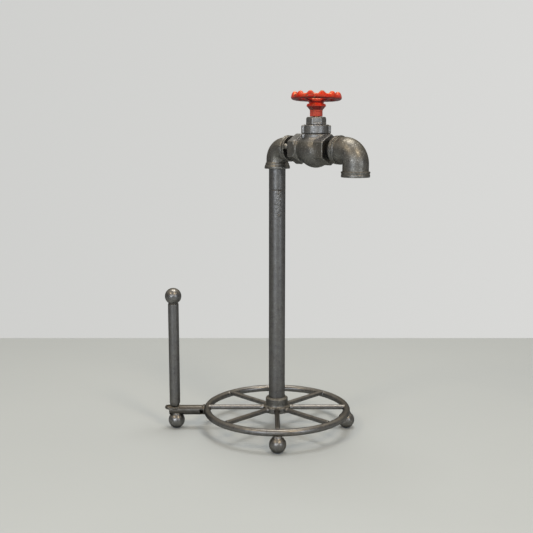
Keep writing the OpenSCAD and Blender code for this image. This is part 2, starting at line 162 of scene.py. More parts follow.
def waves(x, y, z, size, phase=0.0):
    """A smooth uneven field from -1 to 1, about size across; its odd factors keep it from repeating."""
    k = 2 * math.pi / size
    coarse = np.sin(k * (x + 0.37 * y) + 1.3 + phase) * np.sin(k * (0.91 * y - 0.42 * z) + 2.1 * phase + 0.4)
    fine = np.sin(k * 1.7 * (0.6 * x - 0.5 * y + 0.7 * z) + phase)
    fine = fine * np.sin(k * 1.3 * (z + 0.2 * x) - phase + 2.0)
    return (coarse + fine) * 0.5


# ---------------------------------------------------------------- meshes
CORNERS = np.array([[0, 0, 0], [1, 0, 0], [0, 1, 0], [1, 1, 0], [0, 0, 1], [1, 0, 1], [0, 1, 1], [1, 1, 1]])
EDGES = [(0, 1), (2, 3), (4, 5), (6, 7), (0, 2), (1, 3), (4, 6), (5, 7), (0, 4), (1, 5), (2, 6), (3, 7)]
GRID_MARGIN = 1.5
PULLS, PULL_PROBE, PULL_LIMIT, LEAST_SLOPE = 3, 0.1, 0.5, 0.3


def new_object(name, verts, faces, place=WORLD):
    v = np.asarray(verts, float)
    v = v @ place[:3, :3].T + place[:3, 3]
    me = bpy.data.meshes.new(name)
    me.from_pydata((v * MM).tolist(), [], [tuple(f) for f in faces])
    me.update()
    me.polygons.foreach_set("use_smooth", [True] * len(me.polygons))
    ob = bpy.data.objects.new(name, me)
    bpy.context.scene.collection.objects.link(ob)
    return ob


def net(sdf, lo, hi, h):
    """Vertices and quads of sdf's zero surface, on a grid of step h, pulled onto the surface."""
    lo, hi = np.array(lo, float) - GRID_MARGIN * h, np.array(hi, float) + GRID_MARGIN * h
    n = np.ceil((hi - lo) / h).astype(int) + 1
    ax = [lo[i] + h * np.arange(n[i]) for i in range(3)]
    gx, gy, gz = np.meshgrid(*ax, indexing="ij")
    val = sdf(gx, gy, gz)
    ins = val < 0
    count = np.zeros(tuple(n - 1), np.int8)
    for c in CORNERS:
        count += ins[tuple(slice(c[i], n[i] - 1 + c[i]) for i in range(3))]
    cells = np.argwhere((count > 0) & (count < len(CORNERS)))
    index = -np.ones(tuple(n - 1), int)
    index[tuple(cells.T)] = np.arange(len(cells))
    cv = np.stack([val[tuple((cells + c).T)] for c in CORNERS], 1)
    pos = np.zeros((len(cells), 3))
    cnt = np.zeros((len(cells), 1))
    for a, b in EDGES:
        va, vb = cv[:, a], cv[:, b]
        hit = (va < 0) != (vb < 0)
        t = np.where(hit, va / np.where(hit, va - vb, 1), 0)[:, None]
        p = CORNERS[a] + t * (CORNERS[b] - CORNERS[a])
        pos += np.where(hit[:, None], p, 0)
        cnt += hit[:, None]
    v = lo + h * (cells + pos / cnt)
    quads = []
    for axis, (u, w) in enumerate(((1, 2), (2, 0), (0, 1))):
        a = np.take(ins, range(n[axis] - 1), axis)
        b = np.take(ins, range(1, n[axis]), axis)
        g = np.argwhere(a != b)
        g = g[(g[:, u] > 0) & (g[:, w] > 0) & (g[:, u] < n[u] - 1) & (g[:, w] < n[w] - 1)]
        du, dw = np.eye(3, dtype=int)[u], np.eye(3, dtype=int)[w]
        around = (g - du - dw, g - dw, g, g - du)
        q = np.stack([index[tuple(cell.T)] for cell in around], 1)
        out = a[tuple(g.T)]
        quads.append(np.where(out[:, None], q, q[:, ::-1]))
    e = h * PULL_PROBE
    for _ in range(PULLS):
        x, y, z = v.T
        d = sdf(x, y, z)
        grad = np.stack([sdf(x + e, y, z) - d, sdf(x, y + e, z) - d, sdf(x, y, z + e) - d], 1) / e
        step = d[:, None] * grad / np.maximum((grad**2).sum(1, keepdims=True), LEAST_SLOPE)
        v = v - np.clip(step, -PULL_LIMIT * h, PULL_LIMIT * h)
    return v, np.concatenate(quads)


def solid(name, sdf, lo, hi, h, place=WORLD):
    """The closed mesh of sdf inside the box from lo to hi, on a grid of step h, put at place."""
    v, q = net(sdf, lo, hi, h)
    mirrored = np.linalg.det(place[:3, :3]) < 0
    return new_object(name, v, (q[:, ::-1] if mirrored else q).tolist(), place)


def lathe(name, profile, seg, place=WORLD, move=None):
    """A closed profile of (radius, height) points turned about Z; move(angle, r, z) shifts the radius."""
    prof = np.array(profile, float)
    t = np.linspace(0, 2 * math.pi, seg, endpoint=False)
    r = np.repeat(prof[:, 0][:, None], seg, 1)
    z = np.repeat(prof[:, 1][:, None], seg, 1)
    if move is not None:
        r = r + move(t[None, :], r, z)
    v = np.stack([r * np.cos(t), r * np.sin(t), z], -1).reshape(-1, 3)
    rows = len(prof)
    faces = []
    for i in range(rows):
        j = (i + 1) % rows
        for k in range(seg):
            after = (k + 1) % seg
            faces.append((i * seg + k, i * seg + after, j * seg + after, j * seg + k))
    return new_object(name, v, faces, place)


def along_z(lo, hi, step):
    return np.linspace(lo, hi, max(2, int((hi - lo) / step)))


# ---------------------------------------------------------------- materials
# Noise scales are per metre: 120 gives blotches about 8 mm across.
BLOTCHES, PATCHES, SOOT, SPECKS = 120, 38, 260, 820


class Nodes:
    """A material's node tree, with a method for each kind of node."""

    def __init__(self, name):
        self.mat = bpy.data.materials.new(name)
        self.mat.use_nodes = True
        self.tree = self.mat.node_tree
        self.bsdf = self.tree.nodes["Principled BSDF"]
        self.coord = self.add("ShaderNodeTexCoord").outputs["Object"]

    def add(self, kind, **props):
        n = self.tree.nodes.new(kind)
        for k, v in props.items():
            setattr(n, k, v)
        return n

    def link(self, a, b):
        self.tree.links.new(a, b)

    def put(self, value, socket):
        """Link or set a socket, whichever the value calls for."""
        if isinstance(value, bpy.types.NodeSocket):
            self.link(value, socket)
        elif isinstance(value, tuple):
            socket.default_value = (*value, 1)
        else:
            socket.default_value = value

    def noise(self, scale, detail, rough, distort=0.0, stretch=None):
        n = self.add("ShaderNodeTexNoise")
        n.inputs["Scale"].default_value = scale
        n.inputs["Detail"].default_value = detail
        n.inputs["Roughness"].default_value = rough
        n.inputs["Distortion"].default_value = distort
        if stretch:
            m = self.add("ShaderNodeMapping")
            m.inputs["Scale"].default_value = stretch
            self.link(self.coord, m.inputs["Vector"])
            self.link(m.outputs["Vector"], n.inputs["Vector"])
        else:
            self.link(self.coord, n.inputs["Vector"])
        return n.outputs["Fac"]

    def pits(self, scale):
        n = self.add("ShaderNodeTexVoronoi", feature="F1")
        n.inputs["Scale"].default_value = scale
        self.link(self.coord, n.inputs["Vector"])
        return n.outputs["Distance"]

    def ramp(self, fac, stops):
        n = self.add("ShaderNodeValToRGB")
        el = n.color_ramp.elements
        while len(el) < len(stops):
            el.new(0.5)
        for e, (p, c) in zip(el, stops):
            e.position = p
            e.color = (*c, 1) if isinstance(c, tuple) else (c, c, c, 1)
        self.link(fac, n.inputs["Fac"])
        return n.outputs["Color"]

    def mix(self, fac, a, b):
        n = self.add("ShaderNodeMix", data_type="RGBA", blend_type="MIX")
        for at, value in ((0, fac), (6, a), (7, b)):
            self.put(value, n.inputs[at])
        return n.outputs[2]

    def math(self, op, *values, clamp=False):
        n = self.add("ShaderNodeMath", operation=op)
        n.use_clamp = clamp
        for at, value in enumerate(values):
            self.put(value, n.inputs[at])
        return n.outputs[0]

    def scaled(self, value, by, plus):
        """value * by + plus."""
        return self.math("ADD", self.math("MULTIPLY", value, by), plus)

    def axis(self, source, name):
        n = self.add("ShaderNodeSeparateXYZ")
        self.link(source, n.inputs[0])
        return n.outputs[name]

    def normal_z(self):
        return self.axis(self.add("ShaderNodeNewGeometry").outputs["Normal"], "Z")

    def near(self, value, middle, reach):
        """1 where value is middle, falling to 0 at reach from it (mm)."""
        off = self.math("ABSOLUTE", self.math("SUBTRACT", value, middle * MM))
        return self.math("SUBTRACT", 1.0, self.math("DIVIDE", off, reach * MM), clamp=True)

    def bump(self, height, distance, under=None):
        n = self.add("ShaderNodeBump")
        n.inputs["Strength"].default_value = 1.0
        n.inputs["Distance"].default_value = distance
        self.link(height, n.inputs["Height"])
        if under is not None:
            self.link(under, n.inputs["Normal"])
        return n.outputs["Normal"]

    def finish(self, color, rough, normal, metallic=1.0):
        self.link(color, self.bsdf.inputs["Base Color"])
        self.link(rough, self.bsdf.inputs["Roughness"])
        self.link(normal, self.bsdf.inputs["Normal"])
        self.put(metallic, self.bsdf.inputs["Metallic"])
        return self.mat


def gunmetal(
    name, dark, mid, warm, rough, grain, grain_mm, dust_and_sheen, speck,
    pit_mm=0.0, lump_mm=0.0, brush=None, pale_from=None, grit_to=None,
):
    """Dark antiqued metal.

    Blotches run from dark to mid, with patches of warm, and a warm tint on what faces up that is part dust
    and part painted warm light from above, as strong as its own argument sets. Fine grain of scale grain,
    stretched by brush, and specks, lumps and pits lie over them. Above pale_from it turns pale, and
    grit_to is the top of a scraped, gritty strip down the front of a tube.
    """
    n = Nodes(name)
    n.bsdf.inputs["Specular Tint"].default_value = (0.42, 0.42, 0.42, 1)
    base = n.ramp(n.noise(BLOTCHES, 6, 0.60, 0.3), [(0.25, dark), (0.75, mid)])
    patch = n.ramp(n.noise(PATCHES, 5, 0.62, 0.6), [(0.46, 0.0), (0.75, 0.36)])
    col = n.mix(patch, base, warm)
    # A warm tint on what faces up: part dust, part painted warm light from above.
    up = n.math("MULTIPLY", n.ramp(n.normal_z(), [(0.45, 0.0), (0.95, 1.0)]), dust_and_sheen)
    col = n.mix(up, col, warm)
    if pale_from is not None:
        above = n.math("SUBTRACT", n.axis(n.coord, "Z"), pale_from * MM)
        high = n.math("DIVIDE", above, PALE_BLEND * MM, clamp=True)
        pale = n.ramp(n.noise(BLOTCHES, 6, 0.60, 0.3), [(0.25, PALE_DARK), (0.75, PALE_MID)])
        col = n.mix(high, col, pale)
    soot = n.ramp(n.noise(SOOT, 5, 0.7, 0.4), [(0.36, 0.5), (0.47, 0.0)])
    col = n.mix(soot, col, tuple(c * 0.62 for c in dark))
    spots = n.ramp(n.noise(SPECKS, 2, 0.5), [(0.60, 0.0), (0.69, speck)])
    col = n.mix(spots, col, tuple(min(1, c * 2.4) for c in mid))
    if grit_to is not None:
        col = grit(n, col, grit_to)
    fine = n.noise(grain, 3, 0.6, 0.0, brush)
    low, high = rough
    rgh = n.scaled(n.noise(140, 4, 0.6), (high - low) * 1.4, low)
    rgh = n.math("ADD", rgh, n.math("MULTIPLY", fine, 0.10))
    nrm = n.bump(fine, grain_mm * MM)
    if lump_mm:
        nrm = n.bump(n.noise(230, 4, 0.6), lump_mm * MM, nrm)
    if pit_mm:
        nrm = n.bump(n.ramp(n.pits(grain * 0.45), [(0.05, 0.0), (0.3, 1.0)]), pit_mm * MM, nrm)
    return n.finish(col, rgh, nrm)


def grit(n, col, top):
    """A scraped strip just right of a tube's front, with black and bright crumbs."""
    x, y, z = (n.axis(n.coord, a) for a in "XYZ")
    strip = n.math("MULTIPLY", n.near(x, GRIT_X, GRIT_W), n.near(z, top - GRIT_DROP, GRIT_H))
    strip = n.math("MULTIPLY", strip, n.math("LESS_THAN", y, 0.0))
    light = n.ramp(n.noise(1500, 3, 0.7), [(0.52, 0.0), (0.66, 1.0)])
    black = n.ramp(n.noise(650, 3, 0.6, 0.3), [(0.40, 1.0), (0.47, 0.0)])
    col = n.mix(n.math("MULTIPLY", strip, black), col, (0.025, 0.024, 0.023))
    return n.mix(n.math("MULTIPLY", strip, light), col, (0.48, 0.48, 0.46))


def red_paint(name):
    """Worn red paint: dull patches, darker in its hollows and chipped to metal at edges. Painted light and
    shade lie on it: a lighter, lit red on the shaft, shade on what faces down and a warm highlight on top.
    """
    n = Nodes(name)
    n.bsdf.inputs["Specular IOR Level"].default_value = 0.36
    n.bsdf.inputs["Specular Tint"].default_value = (1.0, 0.72, 0.50, 1)
    reds = [(0.28, (0.34, 0.006, 0.003)), (0.52, (0.60, 0.016, 0.003)), (0.8, (0.74, 0.055, 0.008))]
    base = n.ramp(n.noise(120, 5, 0.6, 0.4), reds)
    dull = n.ramp(n.noise(75, 5, 0.65, 0.3), [(0.50, 0.0), (0.66, 0.70)])
    col = n.mix(dull, base, (0.30, 0.085, 0.040))
    # Painted light: below this height the shaft is painted a lighter, lit red, in patches.
    below = n.math("SUBTRACT", (HEAD_Z + LIT_SHAFT_BELOW) * MM, n.axis(n.coord, "Z"))
    low = n.math("DIVIDE", below, LIT_SHAFT_BLEND * MM, clamp=True)
    lit_shaft_patches = n.ramp(n.noise(100, 4, 0.6), [(0.35, 0.35), (0.6, 0.9)])
    col = n.mix(n.math("MULTIPLY", low, lit_shaft_patches), col, (0.58, 0.085, 0.055))
    # Painted shade: what faces down is darkened toward maroon-black.
    under = n.ramp(n.math("MULTIPLY_ADD", n.normal_z(), 0.5, 0.5), [(0.22, 1.0), (0.46, 0.0)])
    col = n.mix(n.math("MULTIPLY", under, 0.85), col, (0.07, 0.004, 0.010))
    # Painted highlight: what faces up is tinted orange, in patches.
    over = n.ramp(n.normal_z(), [(0.62, 0.0), (0.92, 0.7)])
    painted_highlight_patches = n.ramp(n.noise(90, 4, 0.6), [(0.42, 0.0), (0.62, 1.0)])
    col = n.mix(n.math("MULTIPLY", over, painted_highlight_patches), col, (0.90, 0.32, 0.060))
    point = n.add("ShaderNodeNewGeometry").outputs["Pointiness"]
    edges = n.ramp(point, [(0.53, 0.0), (0.60, 1.0)])
    worn = n.math("MULTIPLY", edges, n.ramp(n.noise(240, 4, 0.65), [(0.46, 0.0), (0.58, 1.0)]))
    chips = n.ramp(n.noise(170, 5, 0.7, 0.5), [(0.60, 0.0), (0.64, 1.0)])
    bare = n.math("MAXIMUM", worn, chips)
    metal = n.ramp(n.noise(400, 3, 0.6), [(0.3, (0.085, 0.070, 0.045)), (0.7, (0.26, 0.22, 0.14))])
    # Darker red-black where the surface is hollow.
    hollow_dark = n.ramp(point, [(0.40, 0.85), (0.485, 0.0)])
    col = n.mix(hollow_dark, col, (0.060, 0.010, 0.010))
    col = n.mix(bare, col, metal)
    rgh = n.scaled(n.noise(260, 4, 0.6), 0.25, 0.24)
    nrm = n.bump(n.noise(520, 4, 0.6), 0.12 * MM)
    nrm = n.bump(bare, -0.10 * MM, nrm)
    return n.finish(col, rgh, nrm, n.math("MULTIPLY", bare, 0.8))


def plain_stuff(name, a, b, rough, metallic):
    """Plain brass or rubber for the hidden pieces."""
    n = Nodes(name)
    col = n.ramp(n.noise(150.0, 4, 0.6), [(0.3, a), (0.7, b)])
    rgh = n.scaled(n.noise(500.0, 3, 0.6), 0.2, rough - 0.1)
    return n.finish(col, rgh, n.bump(n.noise(500.0, 3, 0.6), 0.03 * MM), metallic)


PALE_DARK, PALE_MID, PALE_BLEND = (0.165, 0.165, 0.164), (0.260, 0.259, 0.256), 3
GRIT_X, GRIT_W, GRIT_DROP, GRIT_H = 2.2, 5.5, 13, 17
# Height above the head below which the wheel's red is painted lighter as painted light, and its blend (mm).
LIT_SHAFT_BELOW, LIT_SHAFT_BLEND = 53, 4
CAST_LOOK = dict(
    dark=(0.125, 0.122, 0.114), mid=(0.205, 0.201, 0.188), warm=(0.225, 0.192, 0.135), rough=(0.30, 0.44),
    grain=620.0, grain_mm=0.10, dust_and_sheen=0.30, speck=0.6, pit_mm=0.07, lump_mm=0.07,
)
PIPE_LOOK = dict(
    dark=(0.125, 0.124, 0.123), mid=(0.184, 0.183, 0.181), warm=(0.185, 0.168, 0.140), rough=(0.30, 0.42),
    grain=800.0, grain_mm=0.03, dust_and_sheen=0.25, speck=0.25, lump_mm=0.03, brush=(1.0, 1.0, 0.12),
)
CAST = gunmetal("cast_gunmetal", **CAST_LOOK)
VALVE_CAST = gunmetal("valve_gunmetal", **CAST_LOOK, pale_from=HEAD_Z + 8.0)
PALE = gunmetal(
    "bonnet_gunmetal", PALE_DARK, PALE_MID, warm=(0.290, 0.270, 0.225), rough=(0.30, 0.44),
    grain=620.0, grain_mm=0.09, dust_and_sheen=0.20, speck=0.4, pit_mm=0.06, lump_mm=0.07,
)
ROD = gunmetal(
    "rod_gunmetal", (0.135, 0.133, 0.130), (0.215, 0.212, 0.207), (0.220, 0.190, 0.145), rough=(0.21, 0.32),
    grain=900.0, grain_mm=0.03, dust_and_sheen=0.30, speck=0.3, lump_mm=0.05,
)
PIPE = gunmetal("pipe_gunmetal", **PIPE_LOOK)
GRITTY_PIPE = gunmetal("upright_gunmetal", **PIPE_LOOK, grit_to=SEAM_Z)
BALL = gunmetal(
    "ball_gunmetal", (0.135, 0.133, 0.130), (0.215, 0.212, 0.207), (0.230, 0.200, 0.150), rough=(0.23, 0.33),
    grain=700.0, grain_mm=0.05, dust_and_sheen=0.30, speck=0.5, pit_mm=0.04, lump_mm=0.06,
)
# Painted shade: the threads are made near black to stand in for the deep shade in the gaps between the
# fittings.
THREAD_IN_PAINTED_SHADE = gunmetal(
    "thread_steel_painted_shade", (0.010, 0.010, 0.010), (0.028, 0.027, 0.026), (0.030, 0.025, 0.018), rough=(0.40, 0.60),
    grain=900.0, grain_mm=0.04, dust_and_sheen=0.2, speck=0.2,
)
TUBE = gunmetal(
    "tube_gunmetal", (0.070, 0.067, 0.062), (0.120, 0.114, 0.103), (0.140, 0.117, 0.085), rough=(0.26, 0.38),
    grain=800.0, grain_mm=0.04, dust_and_sheen=0.30, speck=0.3, lump_mm=0.06,
)
RED = red_paint("worn_red_paint")
BRASS = plain_stuff("stem_brass", (0.42, 0.30, 0.13), (0.62, 0.47, 0.22), 0.35, 1.0)
RUBBER = plain_stuff("seal_rubber", (0.018, 0.018, 0.018), (0.035, 0.034, 0.033), 0.75, 0.0)


def dress(ob, mat, body, node):
    """Give a piece its material, its body and the CAD node it replaces."""
    ob.data.materials.clear()
    ob.data.materials.append(mat)
    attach(ob, body)
    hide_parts(node)


def repaint(node, mat):
    ob = frame["nodes"][node]
    for s in ob.material_slots:
        s.material = mat
    if not ob.material_slots:
        ob.data.materials.append(mat)


# ---------------------------------------------------------------- base
SPOKES = ("right", "rear_right", "rear", "rear_left", "left", "front_left", "front", "front_right")


def ring_shape(x, y, z):
    """The bent ring, a little out of round, with a bead of weld at each spoke."""
    rad = np.hypot(x, y)
    ang = np.arctan2(y, x)
    wobble = 0.16 * np.sin(3 * ang + 0.7) + 0.10 * np.sin(7 * ang)
    d = np.hypot(rad - RING_R - wobble, z - RING_Z) - RING_ROD_R - 0.07 * waves(x, y, z, 21.0)
    along, side = folded(rad, ang, len(SPOKES))
    bead = np.sqrt((along - RING_R + 4.0) ** 2 * 1.8 + side**2 + (z - SPOKE_Z + 0.9) ** 2)
    bead = bead - 3.0 - 0.3 * waves(x, y, z, 4.2, 1.1)
    return smin(d, bead, 2.6)


ring = solid("base_ring_rod", ring_shape, (-98, -98, 20.8), (98, 98, 32.2), 0.8)
dress(ring, ROD, "base", "base_ring")

for number, place in enumerate(SPOKES):
    degrees = 360 / len(SPOKES) * number

    def spoke_shape(x, y, z, phase=degrees * 0.13):
        r = SPOKE_R + 0.06 * waves(x, y, z, 17.0, phase)
        d = edge(np.hypot(y, z - SPOKE_Z) - r, span(x, SPOKE_IN, RING_R - 1.6), 0.5)
        weld = np.sqrt((x - HUB_R - 0.2) ** 2 + y * y * 0.7 + (z - SPOKE_Z) ** 2)
        weld = weld - 3.6 - 0.3 * waves(x, y, z, 3.9, phase)
        return smin(d, weld, 1.6)

    spoke_lo, spoke_hi = (SPOKE_IN - 2.6, -5.5, SPOKE_Z - 4.5), (RING_R - 1, 5.5, SPOKE_Z + 4.5)
    turned = frame_at(0, 0, 0, math.radians(degrees))
    spoke = solid("spoke_rod_" + place, spoke_shape, spoke_lo, spoke_hi, 0.7, turned)
    dress(spoke, ROD, "base", "spoke_" + place)


def hub_shape(x, y, z):
    """The hub the spokes meet in, with a collar that has a bead of weld round the upright."""
    rad = np.hypot(x, y)
    d = edge(rad - HUB_R, span(z, HUB_LO, HUB_HI), 1.1)
    d = smin(d, edge(rad - COLLAR_R, span(z, HUB_LO + 0.6, COLLAR_HI), 1.0), 3.0)
    bead = ring_sdf(x, y, z - COLLAR_HI, 11.6, 1.35) - 0.25 * waves(x, y, z, 4.4)
    d = smin(d, bead, 0.8)
    return smax(d, PIPE_R + 0.04 - rad, 0.1)


hub = solid("base_hub_collar", hub_shape, (-19, -19, 23), (19, 19, 44), 0.7)
dress(hub, CAST, "base", "base_hub")


def foot(place, px, py, top, weld_r, phase):
    """A ball foot with a small flat under it and a lumpy weld up to top."""

    def shape(x, y, z):
        d = ball(x, y, z - FOOT_Z, FOOT_R) - 0.05 * waves(x, y, z, 9.0, phase)
        rad = np.hypot(x, y)
        neck = edge(rad - weld_r - 0.35 * waves(x, y, z, 4.0, phase), span(z, 14, top), 0.6)
        lump = ring_sdf(x, y, z - 20.0, weld_r - 0.7, 1.15) - 0.35 * waves(x, y, z, 3.3, phase + 2)
        d = smin(smin(d, neck, 0.5), lump, 0.6)
        return smax(d, -z, 0.15)

    ob = solid("foot_ball_" + place, shape, (-11, -11, 0), (11, 11, top + 0.5), 0.6, frame_at(px, py, 0, 0))
    dress(ob, BALL, "base", "foot_" + place)


foot("front", 0, -RING_R, FOOT_TOP, FOOT_WELD_R, 0.3)
foot("right", RING_R, 0, FOOT_TOP, FOOT_WELD_R, 1.7)
foot("rear", 0, RING_R, FOOT_TOP, FOOT_WELD_R, 2.9)
foot("arm", FOOT_X, 0, ARM_Z - ARM_R + 1.6, 6.3, 4.1)


def arm_shape(x, y, z):
    """The arm's tube: a pinched round tip, a notch by the ring, weld beads at the ring and the tear rod."""
    r = np.hypot(y, z - ARM_Z)
    d = edge(r - ARM_R - 0.06 * waves(x, y, z, 15.0), span(x, -ARM_END, -RING_R - 2.9), 0.7)
    tip = edge(np.hypot(x + TONGUE_X, y) - TONGUE_R, span(z, ARM_TOP - 5.0, ARM_TOP - 0.4), 1.9)
    d = smin(d, tip, 1.8)
    bore = edge(r - ARM_BORE_R, span(x, -125, -90), 0.3)
    d = smax(d, -bore, 0.5)
    notch = np.maximum(np.hypot(x + RING_R + 7.4, y + 5.6) - 2.1, np.abs(z - 23.0) - 3.0)
    d = smax(d, -notch, 0.6)
    seam = np.sqrt((x + RING_R + 4.3) ** 2 * 1.4 + (r - 5.4) ** 2) - 1.7 - 0.5 * waves(x, y, z, 4.0, 0.4)
    d = np.where(z > ARM_Z + 1.0, smin(d, seam, 1.0), d)
    bead = np.hypot(np.hypot(x - TEAR_X, y) - 5.4, z - ARM_TOP + 0.6 + 0.06 * y * y)
    bead = bead - 1.1 - 0.55 * waves(x, y, z, 3.1, 0.9)
    return smin(d, bead, 0.9)


arm = solid("arm_tube_bent", arm_shape, (-150.5, -7.6, 17), (-94.5, 7.6, 33.5), 0.55)
dress(arm, TUBE, "base", "arm_tube")


def tear_shape(x, y, z):
    """The tear rod: a tube drawn in and crimped at its foot."""
    lo = ARM_TOP - 1.0
    r = np.hypot(x - TEAR_X, y)
    a = np.arctan2(y, x - TEAR_X)
    taper = TEAR_R - 2.3 * np.clip((lo + 5.2 - z) / 5.2, 0, 1) ** 1.3
    crimp = 0.45 * np.cos(4 * a + 0.6) * np.clip((lo + 7.5 - z) / 6, 0, 1)
    d = edge(r - taper + crimp - 0.05 * waves(x, y, z, 19.0), span(z, lo, TEAR_TOP), 0.45)
    return smax(d, -edge(r - TEAR_BORE_R, lo + 12 - z, 0.3), 0.3)


tear_lo, tear_hi = (TEAR_X - 7.5, -7.5, ARM_TOP - 1.5), (TEAR_X + 7.5, 7.5, TEAR_TOP + 0.5)
tear = solid("tear_rod_tube", tear_shape, tear_lo, tear_hi, 0.7)
dress(tear, PIPE, "base", "tear_rod")


def finial_shape(x, y, z):
    """The tear rod's ball, with a neck and a spigot that goes down into the tube."""
    x, z = x - TEAR_X, z - BALL_Z
    r = np.hypot(x, y)
    d = ball(x, y, z, FINIAL_R) - 0.04 * waves(x, y, z, 8.0)
    d = smin(d, edge(r - 6.3, span(z, -9.9, -4.5), 0.4), 0.6)
    return smin(d, edge(r - TEAR_BORE_R + 0.18, span(z, -19.0, -5), 0.4), 0.4)


ball_lo, ball_hi = (TEAR_X - 11, -11, BALL_Z - 19.2), (TEAR_X + 11, 11, BALL_Z + 11)
finial = solid("tear_ball_finial", finial_shape, ball_lo, ball_hi, 0.55)
dress(finial, BALL, "base", "tear_rod_ball")

# ---------------------------------------------------------------- upright
# Crumbs on the pipe as (angle, height, width, thickness): a strip of them at the front, a few all round.
rng = np.random.default_rng(11)
SPATTER = [
    (
        rng.normal(-1.38, 0.17),
        rng.uniform(SEAM_Z - 33, SEAM_Z - 0.8),
        rng.uniform(0.45, 1.0),
        rng.uniform(0.16, 0.42),
    )
    for _ in range(150)
]
SPATTER += [
    (
        rng.uniform(-math.pi, math.pi),
        rng.uniform(SEAM_Z - 60, SEAM_Z - 2),
        rng.uniform(0.5, 0.9),
        rng.uniform(0.06, 0.16),
    )
    for _ in range(60)
]
FINE_Z = SEAM_Z - 62


def skin(depth, size):
    """Shallow unevenness of a turned tube's outer wall, for lathe."""

    def move(t, r, z):
        uneven = depth * waves(np.cos(t) * 10, np.sin(t) * 10, z, size)
        return np.where(r > OUTER_FROM_R, uneven, 0)

    return move


def pipe_skin(t, r, z):
    out = skin(0.05, 26.0)(t, r, z)
    for at, high, wide, thick in SPATTER:
        across = np.abs((t - at + math.pi) % (2 * math.pi) - math.pi) * PIPE_R
        out = out + thick * np.exp(-(across**2 + (z - high) ** 2) / (wide * wide))
    return np.where(r > OUTER_FROM_R, out, 0)


outer = [(PIPE_R - 0.4, PIPE_LO), (PIPE_R - 0.05, PIPE_LO + 0.4)]
outer += [(PIPE_R, z) for z in along_z(PIPE_LO + 0.6, FINE_Z, 6.0)[:-1]]
outer += [(PIPE_R, z) for z in along_z(FINE_Z, SEAM_Z - 0.7, 0.5)]
outer += [(PIPE_R - 0.05, SEAM_Z - 0.12), (PIPE_R - 0.25, SEAM_Z)]
inner = [(PIPE_IN_R, z) for z in (SEAM_Z, SEAM_Z - 1, 60, PIPE_LO)]
upright = lathe("upright_pipe_tube", outer + inner, 132, WORLD, pipe_skin)
dress(upright, GRITTY_PIPE, "base", "upright_pipe")

pin_profile = [(PIN_IN_R, -PIN_DOWN), (PIN_R - 0.6, -PIN_DOWN), (PIN_R, 1 - PIN_DOWN), (PIN_R, -6)]
pin_profile += [(PIN_R, 0.02), (10.35, 0.02), (10.54, 0.15), (10.54, 0.68), (10.35, PIN_COLLAR_T)]
pin_profile += [(PIN_R, PIN_COLLAR_T), (PIN_R, 9), (PIN_R, PIN_UP - 1)]
pin_profile += [(PIN_R - 0.6, PIN_UP), (PIN_IN_R, PIN_UP)]
pin_profile = [(r, SEAM_Z + z) for r, z in pin_profile]
pin = lathe("slip_pin_tube", pin_profile, 96, WORLD, skin(0.03, 9.0))
dress(pin, PIPE, "pin", "slip_pin")

riser_lo = SEAM_Z + PIN_COLLAR_T + 0.1
riser_profile = [(PIPE_R - 0.25, riser_lo), (PIPE_R - 0.05, riser_lo + 0.12), (PIPE_R, riser_lo + 0.4)]
riser_profile += [(PIPE_R, z) for z in along_z(riser_lo + 1.2, RISER_HI - 0.4, 2.0)]
riser_profile += [(PIPE_R - 0.3, RISER_HI), (PIPE_IN_R, RISER_HI), (PIPE_IN_R, riser_lo)]
riser = lathe("riser_nipple_tube", riser_profile, 96, WORLD, skin(0.04, 18.0))
dress(riser, PIPE, "head", "riser_nipple")


# ---------------------------------------------------------------- fittings
def mouth(rad, t, r, length, slope=0.0):
    """The band round a fitting's mouth, with a groove and a raised back edge: t runs back from its face."""
    lip = edge(rad - r + slope * np.maximum(t - 2.6, 0), span(t, 0, length + 3 * slope), 0.55)
    lip = smax(lip, 0.62 - np.hypot(rad - r - 0.15, t - length * 0.56), 0.3)
    back = np.hypot(rad - r + 0.25 + slope * (length - 3.2), t - length + 0.55) - 0.6
    return smin(lip, back, 0.2)


def elbow_shape(body_r, b, down, side, band_r, band_l, holes, slope=0.0, tack=None):
    """A cast elbow with a mouth below and one at its side, a mould line round its back, and bores in it."""

    def shape(x, y, z):
        d = bend(x, y, z, body_r, b, down - 1.5, side - 1.5)
        from_centre = np.hypot(x - b, z + b)
        line = np.abs(y) + 0.55 * np.maximum(0, from_centre - b - body_r + 0.2) - 0.9
        d = d - 0.22 * np.clip(-line / 0.9, 0, 1) * (from_centre > b + 4)
        d = smin(d, mouth(np.hypot(x, y), z + down, band_r, band_l, slope), 0.7)
        d = smin(d, mouth(np.hypot(y, z), side - x, band_r, band_l), 0.7)
        if tack:
            d = smin(d, tack(x, y, z), 0.9)
        d = d - 0.07 * waves(x, y, z, 7.5) - 0.03 * waves(x, y, z, 3.1, 2.0)
        for kind, r, lo, hi in holes:
            if kind == "down":
                cut = edge(np.hypot(x, y) - r, span(z, lo, hi), 0.2)
            elif kind == "side":
                cut = edge(np.hypot(y, z) - r, span(x, lo, hi), 0.2)
            else:
                cut = bend(x, y, z, r, b, down + lo, side + hi)
            d = smax(d, -cut, 0.5)
        return d

    return shape


TACK = [(25.6, -13.6, 3.0, 3.1), (28.4, -14.0, 3.9, 2.9), (30.6, -13.9, 2.6, 3.0)]


def tack_weld(x, y, z):
    """Three beads of weld in a row, from the elbow's end toward the valve."""
    d = None
    for px, py, pz, r in TACK:
        bead = ball(x - px, y - py, z - pz, r - 0.25 * waves(x, y, z, 3.0, px))
        d = bead if d is None else smin(d, bead, 0.5)
    return smax(d, SOCKET_R + 0.15 - np.hypot(y, z), 0.2)


